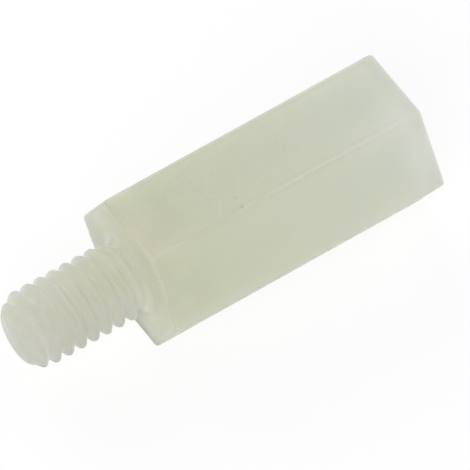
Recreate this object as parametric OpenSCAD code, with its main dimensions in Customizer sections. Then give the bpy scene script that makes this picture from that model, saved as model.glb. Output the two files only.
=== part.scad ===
// Male-female hex standoff, moulded in one piece of natural nylon.
//
// X runs along the part. The shoulder is the plane x = 0: the threaded stud points to -X from it,
// and the hexagonal body reaches to the tapped hole's mouth at +X. Two flats are level, one on top
// and one below, and the part lies on the lower one. The thread is right-handed.

/* [Hex body] */
// Width across the flats of the hexagon
across_flats = 7; // [5.5:0.1:10]
// Length of the hexagonal body, from the shoulder to the tapped end
body_l = 15; // [12:0.5:40]
// Radius along the six long edges
edge_r = 0.15; // [0.05:0.05:0.4]
// Width of the broken edge round the rim of each end face
rim_break = 0.12; // [0.05:0.01:0.3]

/* [Stud] */
// Length of the stud, from the shoulder to its tip
stud_l = 6.35; // [4:0.05:12]
// Diameter of the stud at the roots of its thread
root_d = 3.2; // [2.6:0.05:3.4]
// Radius that rounds the rim of the tip
tip_r = 0.5; // [0.1:0.05:1]
// Fillet between the stud and the shoulder
shoulder_fillet = 0.4; // [0.1:0.05:0.6]

/* [Stud thread] */
// Diameter over the crests
crest_d = 3.9; // [3.6:0.05:5]
// Distance from one crest to the next
pitch = 0.7; // [0.5:0.05:1]
// Width of the flat on the crest
crest_flat = 0.12; // [0.05:0.01:0.2]
// Width of the flat between two ridges
root_flat = 0.1; // [0.05:0.01:0.2]
// Distance from the shoulder to the end of the ridge
neck_l = 0.2; // [0.1:0.05:1]
// Distance from the tip to the start of the ridge
lead_l = 0.25; // [0.2:0.05:1]
// Length along the stud over which the ridge rises to its full height
run_out = 0.5; // [0.2:0.05:1]
// Angle from +Y towards +Z at which the ridge's line crosses the shoulder plane
crest_angle = 293; // [0:1:359]

/* [Tapped hole] */
// Diameter of the hole inside its thread
hole_d = 3.3; // [2.5:0.05:3.6]
// Depth of the hole, from the end face to its flat floor
hole_depth = 9; // [5:0.5:11]
// Diameter of the lead-in cone at the mouth
mouth_d = 4.2; // [3.8:0.05:5]

/* [Hidden] */
$fn = 64;

root_r = root_d / 2;
crest_r = crest_d / 2;
// How far a ridge narrows on each side for each unit that it rises
flank_slope = (pitch - crest_flat - root_flat) / (crest_d - root_d);
// The ridge's foot lies this far under the surface of the stud, and so do its two ends
ridge_sink = 0.03;
ridge_h = crest_r - root_r + ridge_sink;
end_h = ridge_sink / 3;
RIDGE_FACETS_PER_TURN = 32;
NYLON = [0.79, 0.8, 0.71];

// Turns a shape that was built up along +Z to run along +X, or along -X
module along_plus_x() {
    rotate([0, 90, 0]) children();
}

module along_minus_x() {
    rotate([0, -90, 0]) children();
}

// Hexagon with rounded corners: each bar joins two opposite flats, and a disc fills each corner
module hexagon_outline() {
    flat_w = (across_flats - 2 * edge_r) / sqrt(3);
    for (k = [0:2])
        rotate(60 * k) square([across_flats, flat_w], center = true);
    for (k = [0:5])
        rotate(60 * k + 30) translate([flat_w, 0]) circle(edge_r);
}

// Square bars on edge, centred on the six sides of an end face's rim
module rim_cutters() {
    side = rim_break * sqrt(2);
    for (k = [0:5])
        rotate([60 * k, 0, 0])
            translate([0, 0, across_flats / 2])
                rotate([0, 45, 0]) cube([side, across_flats, side], center = true);
}

module hex_body() {
    difference() {
        along_plus_x() linear_extrude(body_l) hexagon_outline();
        rim_cutters();
        translate([body_l, 0, 0]) rim_cutters();
    }
}

// Half section of the stud without its thread: radius along x, height from the shoulder along y
module stud_section() {
    square([root_r, stud_l - tip_r]);
    square([root_r - tip_r, stud_l]);
    translate([root_r - tip_r, stud_l - tip_r])
        intersection() {
            circle(tip_r);
            square(tip_r);
        }
    difference() {
        square([root_r + shoulder_fillet, shoulder_fillet]);
        translate([root_r + shoulder_fillet, shoulder_fillet]) circle(shoulder_fillet);
    }
}

// Radius of the stud's core at x, which falls away round the tip
function core_r(x) =
    let (past_shank = max(0, tip_r - stud_l - x))
        root_r - tip_r + sqrt(max(0, tip_r ^ 2 - past_shank ^ 2));

// Section of the ridge at x, as four points: foot, crest, crest, foot. Height is above the foot.
function ridge_section(x, height) =
    let (
        angle = 360 * x / pitch + crest_angle,
        crest_half = crest_flat / 2,
        foot_half = crest_half + flank_slope * height
    )
    [
        for (p = [[-foot_half, 0], [-crest_half, height], [crest_half, height], [foot_half, 0]])
            let (r = core_r(x + p.x) - ridge_sink + p.y) [x + p.x, r * cos(angle), r * sin(angle)]
    ];

// The thread's ridge: its section swept along the helix, and sunk away at both ends
module thread_ridge() {
    from_x = lead_l - stud_l;
    to_x = -neck_l;
    steps = ceil((to_x - from_x) / pitch * RIDGE_FACETS_PER_TURN);
    points = [
        for (i = [0:steps])
            let (x = from_x + (to_x - from_x) * i / steps, from_end = min(x - from_x, to_x - x))
                each ridge_section(x, min(ridge_h, end_h + ridge_h * from_end / run_out))
    ];
    sides = [
        for (i = [0:steps - 1], j = [0:3])
            let (a = 4 * i + j, b = 4 * i + (j + 1) % 4) [a, b, b + 4, a + 4]
    ];
    first_cap = [3, 2, 1, 0];
    last_cap = [for (j = [0:3]) 4 * steps + j];
    polyhedron(points, concat([first_cap], sides, [last_cap]));
}

module stud() {
    along_minus_x() rotate_extrude() stud_section();
    thread_ridge();
}

// Blind hole at the diameter inside its thread, with a 45 degree lead-in cone
module tapped_hole() {
    lead_in = (mouth_d - hole_d) / 2;
    past = 1;
    translate([body_l - hole_depth, 0, 0])
        along_plus_x() cylinder(h = hole_depth + past, d = hole_d);
    translate([body_l - lead_in, 0, 0])
        along_plus_x() cylinder(h = lead_in + past, d1 = hole_d, d2 = mouth_d + 2 * past);
}

module standoff() {
    color(NYLON)
        difference() {
            union() {
                hex_body();
                stud();
            }
            tapped_hole();
        }
}

standoff();
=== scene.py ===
import math

import bmesh
import bpy
from mathutils import Matrix, Quaternion, Vector


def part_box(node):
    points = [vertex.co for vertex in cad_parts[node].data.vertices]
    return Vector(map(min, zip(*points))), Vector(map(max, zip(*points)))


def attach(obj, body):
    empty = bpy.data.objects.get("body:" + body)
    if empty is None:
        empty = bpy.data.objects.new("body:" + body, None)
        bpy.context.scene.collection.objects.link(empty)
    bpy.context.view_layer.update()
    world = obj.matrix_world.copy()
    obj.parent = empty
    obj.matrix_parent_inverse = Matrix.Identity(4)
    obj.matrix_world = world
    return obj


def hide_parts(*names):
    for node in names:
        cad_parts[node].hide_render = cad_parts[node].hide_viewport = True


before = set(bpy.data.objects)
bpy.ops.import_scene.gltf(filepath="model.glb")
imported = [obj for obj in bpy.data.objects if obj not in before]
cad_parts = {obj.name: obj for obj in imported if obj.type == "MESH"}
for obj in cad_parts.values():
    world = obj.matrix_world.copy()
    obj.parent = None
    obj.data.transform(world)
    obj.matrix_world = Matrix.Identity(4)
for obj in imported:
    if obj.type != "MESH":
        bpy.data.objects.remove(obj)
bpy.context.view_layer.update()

# Viewpoint: a long lens looks down on the standoff from beside its stud, so that the
# long edges of the hexagon run almost parallel.
MM = 0.001  # metres in a millimetre
aim = Vector((4.907, -1.493, 0.959)) * MM
camera_distance = 487.88 * MM
camera_azimuth = -121.93
camera_elevation = 54.162
camera_roll = math.radians(-2.23)


def toward(azimuth, elevation):
    """Unit vector at two angles in degrees, one round from +X and one up from level."""
    turn = math.radians(azimuth)
    lift = math.radians(elevation)
    return Vector((math.cos(lift) * math.cos(turn), math.cos(lift) * math.sin(turn), math.sin(lift)))


toward_camera = toward(camera_azimuth, camera_elevation)
camera_data = bpy.data.cameras.new("long_lens")
camera_data.sensor_width = 36
camera_data.lens = 805.57
camera = bpy.data.objects.new("long_lens", camera_data)
camera.location = aim + toward_camera * camera_distance
camera.rotation_mode = "QUATERNION"
camera.rotation_quaternion = toward_camera.to_track_quat("Z", "Y") @ Quaternion((0, 0, 1), camera_roll)
bpy.context.scene.collection.objects.link(camera)
bpy.context.scene.camera = camera

# Threaded stud: the male M4 end of the standoff, moulded in one with the body. Its thread is
# shallower than a cut one, with crests and roots rounded by the mould, and it dies out just
# short of the shoulder. Sizes are in millimetres, along the axis from the shoulder.
standoff_low, standoff_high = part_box("standoff")
stud_l = -standoff_low.x / MM
stud_root_r = 1.6
stud_crest_r = 1.95
stud_crest_flat = 0.12
stud_root_flat = 0.1
tip_r = 0.5
shoulder_fillet = 0.4
neck_l = 0.2
lead_l = 0.25
run_out = 0.5
pitch = 0.7
thread_corner = 0.05
flat_rim = 0.06
crest_start = math.radians(293)
tip_cut = 0.2 - stud_l
tip_steps = 8
neck_cut = -0.15
fillet_steps = 6
STEPS_PER_TURN = 96
TOUCHING = 0.0005


def thread_skin(crest_r, root_r, crest_flat, root_flat, low_x, high_x):
    """One pitch of a thread's outline, swept into a right-hand helical wall past both ends."""
    skin = bmesh.new()
    outline = [
        (0, root_r),
        (root_flat / 2, root_r),
        ((pitch - crest_flat) / 2, crest_r),
        ((pitch + crest_flat) / 2, crest_r),
        (pitch - root_flat / 2, root_r),
        (pitch, root_r),
    ]
    points = [skin.verts.new((x, r, 0)) for x, r in outline]
    for here, there in zip(points, points[1:]):
        skin.edges.new((here, there))
    bmesh.ops.bevel(
        skin, geom=points[1:-1], offset=thread_corner, segments=3, profile=0.5,
        affect="VERTICES", material=-1,
    )
    start_x = low_x - pitch
    start_angle = crest_start + math.tau * (start_x + pitch / 2) / pitch
    bmesh.ops.rotate(skin, verts=skin.verts[:], cent=(0, 0, 0), matrix=Matrix.Rotation(start_angle, 3, "X"))
    bmesh.ops.translate(skin, verts=skin.verts[:], vec=(start_x, 0, 0))
    bmesh.ops.spin(
        skin, geom=skin.verts[:] + skin.edges[:], cent=(0, 0, 0), axis=(1, 0, 0),
        dvec=(pitch / STEPS_PER_TURN, 0, 0), angle=math.tau, steps=STEPS_PER_TURN, use_merge=False,
    )
    one_turn = skin.verts[:] + skin.edges[:] + skin.faces[:]
    for turn in range(1, math.ceil((high_x - low_x) / pitch) + 2):
        copied = bmesh.ops.duplicate(skin, geom=one_turn)["geom"]
        verts = [part for part in copied if isinstance(part, bmesh.types.BMVert)]
        bmesh.ops.translate(skin, verts=verts, vec=(turn * pitch, 0, 0))
    bmesh.ops.remove_doubles(skin, verts=skin.verts[:], dist=TOUCHING)
    return skin


def set_radii(skin, radius_at):
    """Moves each point straight out or in, to the radius that radius_at gives for it."""
    for vert in skin.verts:
        radius = math.hypot(vert.co.y, vert.co.z)
        change = radius_at(vert.co.x, radius) / radius
        vert.co.y *= change
        vert.co.z *= change


def trim(skin, low_x, high_x):
    """Cuts the skin off square at both ends."""
    for x, outward in ((low_x, -1), (high_x, 1)):
        bmesh.ops.bisect_plane(
            skin, geom=skin.verts[:] + skin.edges[:] + skin.faces[:], dist=1e-6,
            plane_co=(x, 0, 0), plane_no=(outward, 0, 0), clear_outer=True,
        )
    bmesh.ops.remove_doubles(skin, verts=skin.verts[:], dist=TOUCHING)


def open_rim(skin, x):
    """The open edges that lie across the axis at x."""
    return [
        edge for edge in skin.edges
        if not edge.is_manifold and all(abs(vert.co.x - x) < TOUCHING for vert in edge.verts)
    ]


def follow(skin, rim, outline):
    """Draws an open rim on through rings, from the first (x, radius) of the outline to its last."""
    for (x, radius), (next_x, next_radius) in zip(outline, outline[1:]):
        grown = bmesh.ops.extrude_edge_only(skin, edges=rim)["geom"]
        verts = [part for part in grown if isinstance(part, bmesh.types.BMVert)]
        change = next_radius / radius
        bmesh.ops.scale(skin, verts=verts, vec=(1, change, change))
        bmesh.ops.translate(skin, verts=verts, vec=(next_x - x, 0, 0))
        rim = [part for part in grown if isinstance(part, bmesh.types.BMEdge) and part.is_boundary]
    return rim


def arc(centre_x, centre_r, radius, start, end, steps):
    """Points (x, radius from the axis) round a corner, at angles from +X toward outward."""
    angles = [math.radians(start + (end - start) * step / steps) for step in range(steps + 1)]
    return [(centre_x + radius * math.cos(a), centre_r + radius * math.sin(a)) for a in angles]


def stud_core(x):
    """Radius of the stud under its thread, with the rounded tip and the fillet at the shoulder."""
    into_tip = min(max(tip_r - stud_l - x, 0), tip_r)
    into_fillet = min(max(x + shoulder_fillet, 0), shoulder_fillet)
    tip_loss = tip_r - math.sqrt(tip_r**2 - into_tip**2)
    fillet_gain = shoulder_fillet - math.sqrt(shoulder_fillet**2 - into_fillet**2)
    return stud_root_r - tip_loss + fillet_gain


def stud_radius(x, radius):
    """The thread stands its full height on the core, and fades out toward both of its ends."""
    fade = min(x + stud_l - lead_l, -neck_l - x) / run_out
    return stud_core(x) + (radius - stud_root_r) * min(max(fade, 0), 1)


stud = thread_skin(stud_crest_r, stud_root_r, stud_crest_flat, stud_root_flat, -stud_l, 0)
set_radii(stud, stud_radius)
trim(stud, tip_cut, neck_cut)
tip_start = 180 - math.degrees(math.acos((tip_r - stud_l - tip_cut) / tip_r))
tip_outline = arc(tip_r - stud_l, stud_root_r - tip_r, tip_r, tip_start, 180, tip_steps)
tip_rim = follow(stud, open_rim(stud, tip_cut), tip_outline)
bmesh.ops.contextual_create(stud, geom=tip_rim)
fillet_start = math.degrees(math.acos((neck_cut + shoulder_fillet) / shoulder_fillet))
fillet_edge_r = stud_root_r + shoulder_fillet
fillet_outline = arc(-shoulder_fillet, fillet_edge_r, shoulder_fillet, -fillet_start, 0, fillet_steps)
fillet_outline.append((0, fillet_edge_r + flat_rim))
follow(stud, open_rim(stud, neck_cut), fillet_outline)

# Tapped hole: the female M4 end, blind, with a lead-in cone that takes the first turn of a
# screw. A core pin forms it, and its thread stops short of the flat floor.
body_l = standoff_high.x / MM
hole_depth = 9
hole_floor = body_l - hole_depth
hole_minor_r = 1.65
hole_major_r = 2
hole_crest_flat = 0.12
hole_root_flat = 0.09
mouth_r = 2.1
mouth_turn = math.radians(45)
mouth_round_r = 0.12
mouth_steps = 4
blind_l = 0.6


def hole_radius(x, radius):
    """The thread fades out above the floor, and the lead-in cone cuts its first turn away."""
    depth = body_l - x
    fade = min(max((hole_depth - blind_l - depth) / run_out, 0), 1)
    return max(hole_minor_r + (radius - hole_minor_r) * fade, mouth_r - depth / math.tan(mouth_turn))


hole = thread_skin(hole_minor_r, hole_major_r, hole_crest_flat, hole_root_flat, hole_floor, body_l)
set_radii(hole, hole_radius)
mouth_cut = body_l - mouth_round_r * (1 - math.cos(mouth_turn))
trim(hole, hole_floor, mouth_cut)
bmesh.ops.contextual_create(hole, geom=open_rim(hole, hole_floor))
mouth_edge_r = mouth_r + mouth_round_r * math.tan(mouth_turn / 2)
mouth_start = -math.degrees(mouth_turn)
mouth_outline = arc(body_l - mouth_round_r, mouth_edge_r, mouth_round_r, mouth_start, 0, mouth_steps)
mouth_outline.append((body_l, mouth_edge_r + flat_rim))
follow(hole, open_rim(hole, mouth_cut), mouth_outline)

# Hexagonal body: the part that a spanner holds, seven millimetres across its flats. The mould
# leaves its long edges and both of its rims a little round, and stud, body and hole are one
# skin of the same nylon.
across_flats = (standoff_high.z - standoff_low.z) / MM
half_side = math.radians(30)
edge_r = 0.15
rim_r = 0.18
rim_steps = 4


def join(skin, other):
    """Moves all of another skin into this one."""
    carrier = bpy.data.meshes.new("carrier")
    other.to_mesh(carrier)
    other.free()
    skin.from_mesh(carrier)
    bpy.data.meshes.remove(carrier)


apothem = across_flats / 2
face_apothem = apothem - rim_r - flat_rim
rim_scale = face_apothem / apothem
body = bmesh.new()
bmesh.ops.create_circle(
    body, cap_ends=False, segments=6, radius=rim_scale * apothem / math.cos(half_side),
    matrix=Matrix.Rotation(math.radians(90), 4, "Y"),
)
bmesh.ops.bevel(
    body, geom=body.verts[:], offset=rim_scale * edge_r * math.tan(half_side), segments=4,
    profile=0.5, affect="VERTICES", material=-1,
)
near_outline = [(0, face_apothem)] + arc(rim_r, apothem - rim_r, rim_r, 180, 90, rim_steps)
far_outline = arc(body_l - rim_r, apothem - rim_r, rim_r, 90, 0, rim_steps) + [(body_l, face_apothem)]
follow(body, body.edges[:], near_outline + far_outline)
join(body, stud)
join(body, hole)
for x in (0, body_l):
    bmesh.ops.triangle_fill(body, use_beauty=True, use_dissolve=False, edges=open_rim(body, x))
bmesh.ops.recalc_face_normals(body, faces=body.faces[:])
bmesh.ops.scale(body, verts=body.verts[:], vec=(MM, MM, MM))
for face in body.faces:
    face.smooth = True
standoff_mesh = bpy.data.meshes.new("nylon_standoff")
body.to_mesh(standoff_mesh)
body.free()
standoff_mesh.set_sharp_from_angle(angle=math.radians(35))
standoff = bpy.data.objects.new("nylon_standoff", standoff_mesh)
bpy.context.scene.collection.objects.link(standoff)
shading = standoff.modifiers.new("even_shading", "WEIGHTED_NORMAL")
shading.keep_sharp = True


class Shade:
    """A socket in a material's or the tent's node tree. Arithmetic on it adds Math nodes."""

    def __init__(self, tree, socket=None):
        self.tree = tree
        self.socket = socket

    def node(self, kind, settings, sockets, output=None):
        """Adds any node: its settings first, then a value or a link for each of its sockets."""
        made = self.tree.nodes.new(kind)
        for name, value in settings.items():
            if name != "stops":
                setattr(made, name, value)
                continue
            stops = made.color_ramp.elements
            for index, (position, colour) in enumerate(value):
                stop = stops[index] if index < 2 else stops.new(position)
                stop.position = position
                stop.color = (*colour, 1)
        for name, value in sockets.items():
            socket = made.inputs[name] if isinstance(name, int) else next(
                socket for socket in made.inputs if socket.enabled and socket.name == name
            )
            if isinstance(value, Shade):
                self.tree.links.new(value.socket, socket)
            else:
                socket.default_value = value
        results = [socket for socket in made.outputs if socket.enabled and output in (None, socket.name)]
        return Shade(self.tree, results[0] if results else None)

    def math(self, operation, first, second):
        return self.node("ShaderNodeMath", {"operation": operation}, {0: first, 1: second})

    def __add__(self, other):
        return self.math("ADD", self, other)

    def __sub__(self, other):
        return self.math("SUBTRACT", self, other)

    def __rsub__(self, other):
        return self.math("SUBTRACT", other, self)

    def __mul__(self, other):
        return self.math("MULTIPLY", self, other)

    __radd__ = __add__
    __rmul__ = __mul__


def rise(value, low, high):
    """A smooth step of a Shade: 0 below low, 1 above high, and falling where high is the lower."""
    return value.node(
        "ShaderNodeMapRange", {"interpolation_type": "SMOOTHSTEP"},
        {"Value": value, "From Min": low, "From Max": high},
    )


def tinted(colour, share, other):
    """The colour turned toward another by a share from 0 to 1."""
    return colour.node(
        "ShaderNodeMix", {"data_type": "RGBA"}, {"Factor": share, "A": colour, "B": other},
    )


nylon = bpy.data.materials.new("moulded_nylon")
nylon.use_nodes = True
nylon.node_tree.nodes.clear()
blank = Shade(nylon.node_tree)
metres = blank.node("ShaderNodeTexCoord", {}, {}, "Object")
place = blank.node("ShaderNodeVectorMath", {"operation": "SCALE"}, {"Vector": metres, "Scale": 1 / MM})
along, backward, upward = [
    blank.node("ShaderNodeSeparateXYZ", {}, {"Vector": place}, axis) for axis in "XYZ"
]
across = blank.node("ShaderNodeVectorMath", {"operation": "MULTIPLY"}, {0: place, 1: (0, 1, 1)})
off_axis = blank.node("ShaderNodeVectorMath", {"operation": "LENGTH"}, {"Vector": across}, "Value")


def spot(centre, reach, core=0):
    """1 up to core millimetres from a place in the nylon, and 0 from reach millimetres on."""
    away = blank.node(
        "ShaderNodeVectorMath", {"operation": "DISTANCE"}, {0: place, 1: centre}, "Value"
    )
    return rise(away, reach, core)


# The solid end is the warmest. Painted shade darkens the stud's tip and dulls the tapped rim,
# and painted light makes the wall round the hole paler and cooler.
nylon_l = stud_l + body_l
tones_and_painted_light_along = [
    (-stud_l, (0.49, 0.50, 0.36)),
    (-4, (0.67, 0.68, 0.48)),
    (-1, (0.73, 0.74, 0.48)),
    (0, (0.69, 0.71, 0.53)),
    (3, (0.75, 0.77, 0.61)),
    (body_l - 3, (0.78, 0.81, 0.69)),
    (body_l - 1, (0.77, 0.78, 0.70)),
    (body_l, (0.69, 0.69, 0.64)),
]
colour = blank.node(
    "ShaderNodeValToRGB",
    {"stops": [((x + stud_l) / nylon_l, shade) for x, shade in tones_and_painted_light_along]},
    {"Fac": (along + stud_l) * (1 / nylon_l)},
    "Color",
)

# Each tint is a share of the nylon and the colour that the share turns toward. First the flats:
# painted light that makes the thin wall paler and cooler, clouds in the nylon, and a fine grain
# that is strongest on the upper flat.
# Three colours for painted marks below: two of painted shade, then one of painted light.
painted_shade_olive = (0.42, 0.43, 0.32)
painted_shade_straw = (0.56, 0.57, 0.42)
painted_light_milk = (0.93, 0.955, 0.80)
upper_flat = rise(upward, 3, 3.4)
painted_light_thin_wall = rise(along, body_l - 5, body_l - 1.5) * rise(off_axis, 3.95, 3.55) * (upper_flat * 0.7 + 0.3)
clouds = blank.node("ShaderNodeTexNoise", {}, {"Vector": place, "Scale": 0.8, "Detail": 3}, "Fac")
grain = blank.node(
    "ShaderNodeTexNoise", {}, {"Vector": place, "Scale": 5.5, "Detail": 2, "Roughness": 0.6}, "Fac"
)
peel = rise(upward, 3.2, 3.45) * rise(along, 11, 6) * 0.7 + 0.3
tints = [
    (painted_light_thin_wall * 0.4, (0.74, 0.83, 0.73)),
    (rise(clouds, 0.45, 0.75) * 0.3, (0.79, 0.80, 0.64)),
    (rise(grain, 0.35, 0.7) * peel * 0.15, (0.58, 0.60, 0.42)),
]

# Long edges: painted shade makes them a little duller than the flats, and a painted highlight
# lies in a light line on their far half.
shade_beside_edge = rise(off_axis, 3.6, 3.9) * rise(along, 1, 3) * rise(along, 12.5, 10)
shade_near_edge = rise(off_axis, 3.85, 3.97) * rise(along, 0.5, 2)
shade_on_back_edge = rise(off_axis, 3.75, 3.95) * rise(backward, 1.2, 1.8) * upper_flat
edge = rise(off_axis, 3.99, 4.013)
tints += [
    (shade_beside_edge * 0.12, painted_shade_straw),
    (shade_near_edge * 0.18, painted_shade_straw),
    (shade_on_back_edge * 0.15, painted_shade_straw),
    (edge * rise(along, 8, 4) * 0.25, painted_shade_straw),
    (edge * rise(along, 6, 11) * 0.06, (0.95, 0.98, 0.86)),
]

# Painted shade dulls the rim next to the shoulder, most of all at one corner, and painted light
# makes the underside paler.
rim_shade_share = rise(upward, 2.4, 3.2) * 0.16 + 0.1
painted_shade_near_rim = rise(along, 0, 0.004) * (rise(along, 1.1, 0) * 0.28 + rise(along, 0.35, 0.05) * rim_shade_share)
painted_light_underside = rise(upward, 0.8, -0.8) * (rise(along, 0, 0.2) * 0.3 + 0.2)
tints += [
    (painted_shade_near_rim, (0.42, 0.43, 0.30)),
    (spot((0.1, -2.02, apothem), 2, 0.3) * 0.14, painted_shade_olive),
    (painted_light_underside, painted_light_milk),
]

# Stud and shoulder: painted shade dulls the stud's top and the outer edge of the shoulder's face,
# painted light makes the stud's foot, the ring round it, the rest of the face and its low part
# paler, and a warm patch lies beside one corner.
shoulder = rise(along, 0.004, 0)
painted_shade_stud_top = rise(along, 0, -0.8) * rise(upward, 0.7, 1.7)
painted_light_stud_foot = shoulder * rise(upward, 1.5, -0.2) * rise(along, -4.5, -1) * rise(off_axis, 2.2, 1.9)
warm_patch = (0.1, -1, 3)
painted_light_end_face = shoulder * rise(off_axis, 1.9, 2.6) * (1 - spot(warm_patch, 4.2, 2.2))
painted_light_foot_ring = shoulder * rise(off_axis, 1.85, 2.15) * rise(off_axis, 3.1, 2.4)
painted_shade_face_edge = shoulder * rise(off_axis, 2.85, 3.4) * (rise(backward, 1, 2.4) * 0.22 + 0.1)
painted_light_low_face = shoulder * rise(off_axis, 2.2, 2.6) * rise(upward, -1.7, -2.7)
tints += [
    (painted_shade_stud_top * 0.25, (0.50, 0.51, 0.33)),
    (painted_light_stud_foot * 0.9, (0.93, 0.94, 0.69)),
    (spot(warm_patch, 2.6, 0.6) * 0.35, (0.76, 0.72, 0.55)),
    (painted_light_end_face * 0.37, (0.85, 0.87, 0.75)),
    (painted_light_foot_ring * 0.25, (0.85, 0.85, 0.72)),
    (painted_shade_face_edge, painted_shade_olive),
    (painted_light_low_face * 0.35, painted_light_milk),
]

# Tapped end: painted shade dulls its rim, and painted light makes a pale patch on the upper flat
# and one on the flat beside it.
painted_light_far_corner = (body_l - 0.8, -2, 3.3)
painted_light_far_flat = (body_l - 0.4, -3.03, 1.75)
far_side = rise(off_axis, 3, 3.4) * rise(along, body_l - 1, body_l - 0.1)
painted_shade_far_rim = far_side * rise(along, body_l, body_l - 0.004)
tints += [
    (spot(painted_light_far_corner, 2.4, 0.6) * rise(upward, 2.7, 3.45) * 0.3, (0.88, 0.90, 0.83)),
    (painted_shade_far_rim * 0.35, (0.56, 0.57, 0.46)),
    (spot(painted_light_far_flat, 2.2, 0.3) * 0.24, (0.93, 0.985, 0.92)),
]

# Three dark specks, each a place and a reach: two beside a long edge and one near the stud's tip.
specks = [((5.1, -1.88, apothem), 0.11), ((5.13, -1.33, apothem), 0.065), ((-5.23, -0.43, 1.54), 0.06)]
tints += [(spot(centre, reach) * 0.5, (0.30, 0.29, 0.18)) for centre, reach in specks]
for share, tint in tints:
    colour = tinted(colour, share, (*tint, 1))

# Satin skin, as uneven as its grain. Light goes deep into the stud and less deep into the body,
# and part of it is lost at the skin. Less is lost in the creases at the stud's foot and inside the
# hole, which is painted light that lifts the shade there.
roughness = 0.40 + grain * 0.12
relief = blank.node(
    "ShaderNodeBump", {}, {"Strength": 0.35, "Distance": 0.01 * MM, "Height": grain * peel}, "Normal"
)
surface = {"Roughness": roughness, "Normal": relief, "IOR": 1.53, "Specular IOR Level": 0.35}
deep = blank.node("ShaderNodeBsdfPrincipled", {}, {
    "Base Color": colour, "Subsurface Weight": 1, "Subsurface Radius": (1, 1, 1),
    "Subsurface Scale": 26 * MM, **surface,
})
shallow = blank.node("ShaderNodeBsdfPrincipled", {}, {
    "Base Color": colour, "Subsurface Weight": 1, "Subsurface Radius": (1, 1, 1),
    "Subsurface Scale": 2 * MM, **surface,
})
in_body = blank.math("MAXIMUM", rise(along, -1, 2), rise(off_axis, 1.95, 2.4) * 0.8)
inside = blank.node("ShaderNodeMixShader", {}, {0: in_body, 1: deep, 2: shallow})
lost = blank.node("ShaderNodeBsdfPrincipled", {}, {"Base Color": (0, 0, 0, 1), **surface})
# Painted light lifts the shade in these creases at the stud's foot and in the bore.
painted_light_low_crease = shoulder * rise(along, -0.9, -0.3) * rise(off_axis, 2.6, 1.9) * rise(upward, -0.2, -1.5)
painted_light_top_crease = spot((-0.25, 0.95, 1.5), 0.6) * 0.5
behind_mouth = rise(along, hole_floor - 0.1, hole_floor) * rise(along, body_l - 0.3, body_l - 1.8)
painted_light_bore = behind_mouth * rise(off_axis, 2.4, 2.05)
kept = 0.7 + 0.2 * (painted_light_low_crease + painted_light_top_crease + painted_light_bore)
skin = blank.node("ShaderNodeMixShader", {}, {0: kept, 1: lost, 2: inside})
blank.node("ShaderNodeOutputMaterial", {}, {"Surface": skin})
standoff_mesh.materials.append(nylon)
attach(standoff, "root")
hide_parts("standoff")

# Floor: a plain white paper sheet that the standoff lies on, wide enough to fill every view.
# It is bright to the camera and in reflections, and keeps a faint shadow under the nylon.
floor_half = 1.5
floor_skin = bmesh.new()
bmesh.ops.create_grid(floor_skin, x_segments=1, y_segments=1, size=floor_half)
bmesh.ops.translate(floor_skin, verts=floor_skin.verts[:], vec=(0, 0, standoff_low.z))
floor_mesh = bpy.data.meshes.new("white_floor")
floor_skin.to_mesh(floor_mesh)
floor_skin.free()
floor = bpy.data.objects.new("white_floor", floor_mesh)
bpy.context.scene.collection.objects.link(floor)
paper = bpy.data.materials.new("white_paper")
paper.use_nodes = True
paper.node_tree.nodes.clear()
sheet = Shade(paper.node_tree)
matt = sheet.node("ShaderNodeBsdfPrincipled", {}, {
    "Base Color": (0.97, 0.97, 0.97, 1), "Roughness": 1, "Specular IOR Level": 0,
})
white = sheet.node("ShaderNodeEmission", {}, {"Strength": 1})
paper_glow = 0.85


def seen(shade):
    """1 for the rays that show a surface itself: direct, in a sheen, or through the nylon."""
    direct, sheen, through = [
        shade.node("ShaderNodeLightPath", {}, {}, ray)
        for ray in ("Is Camera Ray", "Is Glossy Ray", "Is Transmission Ray")
    ]
    return shade.math("MINIMUM", direct + sheen + through, 1)


shown = sheet.node("ShaderNodeMixShader", {}, {0: seen(sheet) * paper_glow, 1: matt, 2: white})
sheet.node("ShaderNodeOutputMaterial", {}, {"Surface": shown})
floor_mesh.materials.append(paper)

# Light: three very broad lamps in a white tent that gives little light of its own: one low in
# front, one low behind, and one lower still beyond the tapped end. The sheen comes from the tent
# alone, so that no flat turns white in a low view.
sky = bpy.data.worlds.new("white_tent")
sky.use_nodes = True
sky.node_tree.nodes.clear()
tent = Shade(sky.node_tree)
tent_light = 0.22
strength = tent_light + (1 - tent_light) * seen(tent)
tent_wall = tent.node("ShaderNodeBackground", {}, {"Color": (1, 1, 1, 1), "Strength": strength})
tent.node("ShaderNodeOutputWorld", {}, {"Surface": tent_wall})
bpy.context.scene.world = sky
lamp_spread = math.radians(50)
lamps = {
    "front_lamp": (-137, 33, 0.78),
    "back_lamp": (90, 25, 0.66),
    "end_lamp": (0, 10, 0.7),
}
for name, (azimuth, elevation, level) in lamps.items():
    lamp_data = bpy.data.lights.new(name, "SUN")
    lamp_data.energy = level * math.pi
    lamp_data.angle = lamp_spread
    lamp = bpy.data.objects.new(name, lamp_data)
    lamp.visible_glossy = False
    lamp.rotation_mode = "QUATERNION"
    lamp.rotation_quaternion = toward(azimuth, elevation).to_track_quat("Z", "Y")
    bpy.context.scene.collection.objects.link(lamp)

bpy.context.scene.view_settings.view_transform = "Standard"
